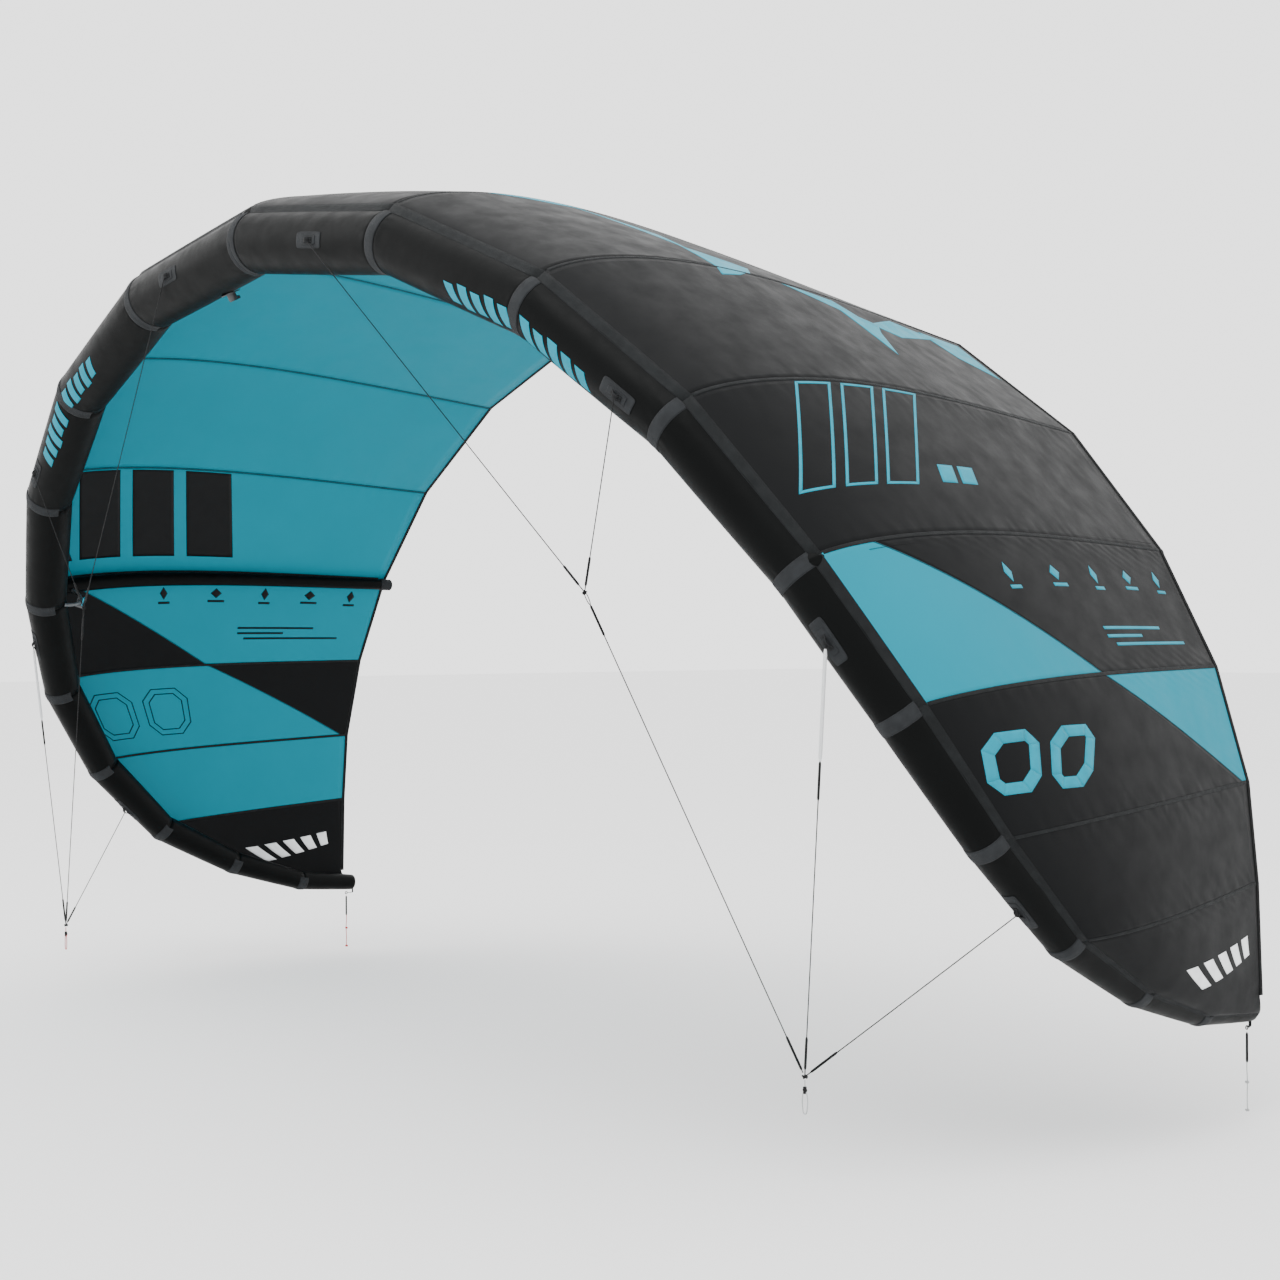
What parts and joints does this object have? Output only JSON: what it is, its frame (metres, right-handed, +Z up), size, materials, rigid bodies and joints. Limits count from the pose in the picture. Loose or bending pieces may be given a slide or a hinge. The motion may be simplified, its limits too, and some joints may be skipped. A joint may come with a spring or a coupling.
{
  "type": "kitesurf kite",
  "caption": "Inflatable arched kitesurf kite with tapered leading edge tube, struts, panelled canopy, four-leg front bridles and rear pigtails.",
  "frame": {"origin": "centre of the leading edge tube on the plane of symmetry", "axes": "+X along the span, +Y from the leading edge to the trailing edge, +Z up, out of the top of the arch"},
  "size_m": [4.2862, 1.6655, 2.3756],
  "materials": {
    "tube_cloth": "woven polyester tube cloth, satin",
    "canopy_black": "coated ripstop, satin",
    "canopy_cyan": "coated ripstop, satin",
    "canopy_two_tone": "coated ripstop in two colours, satin",
    "hem_tape": "folded tape, matte",
    "reinforcement": "heavy cloth and webbing, matte",
    "bladder_film": "clear polyurethane film",
    "bridle_line": "braided line",
    "whipping": "whipped and spliced ends, matte",
    "pigtail_white": "braided line",
    "pigtail_red": "braided line",
    "valve_plastic": "moulded, satin",
    "valve_rubber": "matte",
    "hose_plastic": "flexible hose, satin",
    "clip_plastic": "moulded, satin"
  },
  "bodies": {
    "frame": {"leading_edge_segment_1_pair": "tube_cloth", "leading_edge_segment_2_pair": "tube_cloth", "leading_edge_segment_3_pair": "tube_cloth", "leading_edge_segment_4_pair": "tube_cloth", "leading_edge_segment_5_pair": "tube_cloth", "leading_edge_segment_6_pair": "tube_cloth", "leading_edge_segment_7_pair": "tube_cloth", "leading_edge_segment_8_pair": "tube_cloth", "leading_edge_segment_9_pair": "tube_cloth", "leading_edge_segment_10_pair": "tube_cloth", "canopy_panel_right_1": "canopy_black", "canopy_panel_right_2": "canopy_black", "canopy_panel_right_3": "canopy_black", "canopy_panel_right_4": "canopy_black", "canopy_panel_right_5": "canopy_two_tone", "canopy_panel_right_6": "canopy_two_tone", "canopy_panel_right_7": "canopy_black", "canopy_panel_right_8": "canopy_black", "canopy_panel_left_1": "canopy_cyan", "canopy_panel_left_2": "canopy_cyan", "canopy_panel_left_3": "canopy_cyan", "canopy_panel_left_4": "canopy_cyan", "canopy_panel_left_5": "canopy_two_tone", "canopy_panel_left_6": "canopy_two_tone", "canopy_panel_left_7": "canopy_cyan", "canopy_panel_left_8": "canopy_black", "trailing_edge_hem": "hem_tape", "strut_centre": "tube_cloth", "strut_right": "tube_cloth", "strut_left": "tube_cloth", "bladders": "bladder_film", "seam_bands": "reinforcement", "webbing_tabs": "reinforcement", "inflation_valve_body": "valve_plastic", "air_hoses_and_clip_bases": "hose_plastic"},
    "lower_bridle_right": {"bridle_line_c_right": "bridle_line", "bridle_line_d_right": "bridle_line", "bridle_lower_knot_right": "whipping"},
    "upper_bridle_right": {"bridle_line_a_right": "bridle_line", "bridle_line_b_right": "bridle_line", "bridle_upper_knot_right": "whipping"},
    "bridle_link_right": {"bridle_link_line_right": "bridle_line", "bridle_link_fittings_right": "whipping"},
    "front_loop_right": {"front_line_loop_right": "pigtail_white"},
    "rear_pigtail_right": {"rear_pigtail_right": "pigtail_white"},
    "lower_bridle_left": {"bridle_line_c_left": "bridle_line", "bridle_line_d_left": "bridle_line", "bridle_lower_knot_left": "whipping"},
    "upper_bridle_left": {"bridle_line_a_left": "bridle_line", "bridle_line_b_left": "bridle_line", "bridle_upper_knot_left": "whipping"},
    "bridle_link_left": {"bridle_link_line_left": "bridle_line", "bridle_link_fittings_left": "whipping"},
    "front_loop_left": {"front_line_loop_left": "pigtail_red"},
    "rear_pigtail_left": {"rear_pigtail_left": "pigtail_red"},
    "valve_flap": {"inflation_valve_flap": "valve_rubber"},
    "valve_cap": {"inflation_valve_cap": "valve_plastic"},
    "clip_lever_centre": {"hose_clip_lever_centre": "clip_plastic"},
    "clip_lever_right": {"hose_clip_lever_right": "clip_plastic"},
    "clip_lever_left": {"hose_clip_lever_left": "clip_plastic"}
  },
  "joints": [
    {"name": "lower_bridle_swing_right", "type": "hinge", "parent": "frame", "child": "lower_bridle_right", "pos_m": [1.89467, 0.24385, -1.07449], "axis": [0.2151, 0.5654, -0.7963], "range_deg": [0, 6]},
    {"name": "upper_bridle_swing_right", "type": "hinge", "parent": "frame", "child": "upper_bridle_right", "pos_m": [0.36737, -0.07804, -0.05168], "axis": [0.9102, 0.098, -0.4024], "range_deg": [0, 8]},
    {"name": "bridle_link_swing_right", "type": "hinge", "parent": "lower_bridle_right", "child": "bridle_link_right", "pos_m": [1.77, 0.297, -2.009], "axis": [-0.619, -0.6623, -0.4221], "range_deg": [0, 2]},
    {"name": "front_loop_swing_right", "type": "hinge", "parent": "lower_bridle_right", "child": "front_loop_right", "pos_m": [1.77, 0.297, -2.009], "axis": [1, 0, 0], "range_deg": [-60, 60]},
    {"name": "rear_pigtail_swing_right", "type": "hinge", "parent": "frame", "child": "rear_pigtail_right", "pos_m": [2.011, 1.556, -2.019], "axis": [1, 0, 0], "range_deg": [-60, 60]},
    {"name": "lower_bridle_swing_left", "type": "hinge", "parent": "frame", "child": "lower_bridle_left", "pos_m": [-1.89467, 0.24385, -1.07449], "axis": [0.2151, -0.5654, 0.7963], "range_deg": [0, 6]},
    {"name": "upper_bridle_swing_left", "type": "hinge", "parent": "frame", "child": "upper_bridle_left", "pos_m": [-0.36737, -0.07804, -0.05168], "axis": [0.9102, -0.098, 0.4024], "range_deg": [0, 8]},
    {"name": "bridle_link_swing_left", "type": "hinge", "parent": "lower_bridle_left", "child": "bridle_link_left", "pos_m": [-1.77, 0.297, -2.009], "axis": [-0.619, 0.6623, 0.4221], "range_deg": [0, 2]},
    {"name": "front_loop_swing_left", "type": "hinge", "parent": "lower_bridle_left", "child": "front_loop_left", "pos_m": [-1.77, 0.297, -2.009], "axis": [1, 0, 0], "range_deg": [-60, 60]},
    {"name": "rear_pigtail_swing_left", "type": "hinge", "parent": "frame", "child": "rear_pigtail_left", "pos_m": [-2.011, 1.556, -2.019], "axis": [1, 0, 0], "range_deg": [-60, 60]},
    {"name": "valve_cap_hinge", "type": "hinge", "parent": "frame", "child": "valve_cap", "pos_m": [-0.21592, 0.06553, -0.11279], "axis": [0.9954, -0.0179, 0.0941], "range_deg": [0, 100]},
    {"name": "valve_flap_hinge", "type": "hinge", "parent": "frame", "child": "valve_flap", "pos_m": [-0.21719, 0.05168, -0.10204], "axis": [-0.9954, 0.0179, -0.0941], "range_deg": [0, 20]},
    {"name": "clip_lever_centre_hinge", "type": "hinge", "parent": "frame", "child": "clip_lever_centre", "pos_m": [0.017, 0.13946, -0.01312], "axis": [0, -0.4885, -0.8726], "range_deg": [0, 75]},
    {"name": "clip_lever_right_hinge", "type": "hinge", "parent": "frame", "child": "clip_lever_right", "pos_m": [1.79944, 0.37502, -0.94097], "axis": [-0.722, -0.573, -0.3877], "range_deg": [0, 75]},
    {"name": "clip_lever_left_hinge", "type": "hinge", "parent": "frame", "child": "clip_lever_left", "pos_m": [-1.79944, 0.37502, -0.94097], "axis": [-0.722, 0.573, 0.3877], "range_deg": [0, 75]}
  ],
  "couplings": [
    {"joint": "upper_bridle_swing_right", "follows": "lower_bridle_swing_right", "ratio": 1.302},
    {"joint": "bridle_link_swing_right", "follows": "lower_bridle_swing_right", "ratio": 0.097},
    {"joint": "upper_bridle_swing_left", "follows": "lower_bridle_swing_left", "ratio": 1.302},
    {"joint": "bridle_link_swing_left", "follows": "lower_bridle_swing_left", "ratio": 0.097}
  ]
}
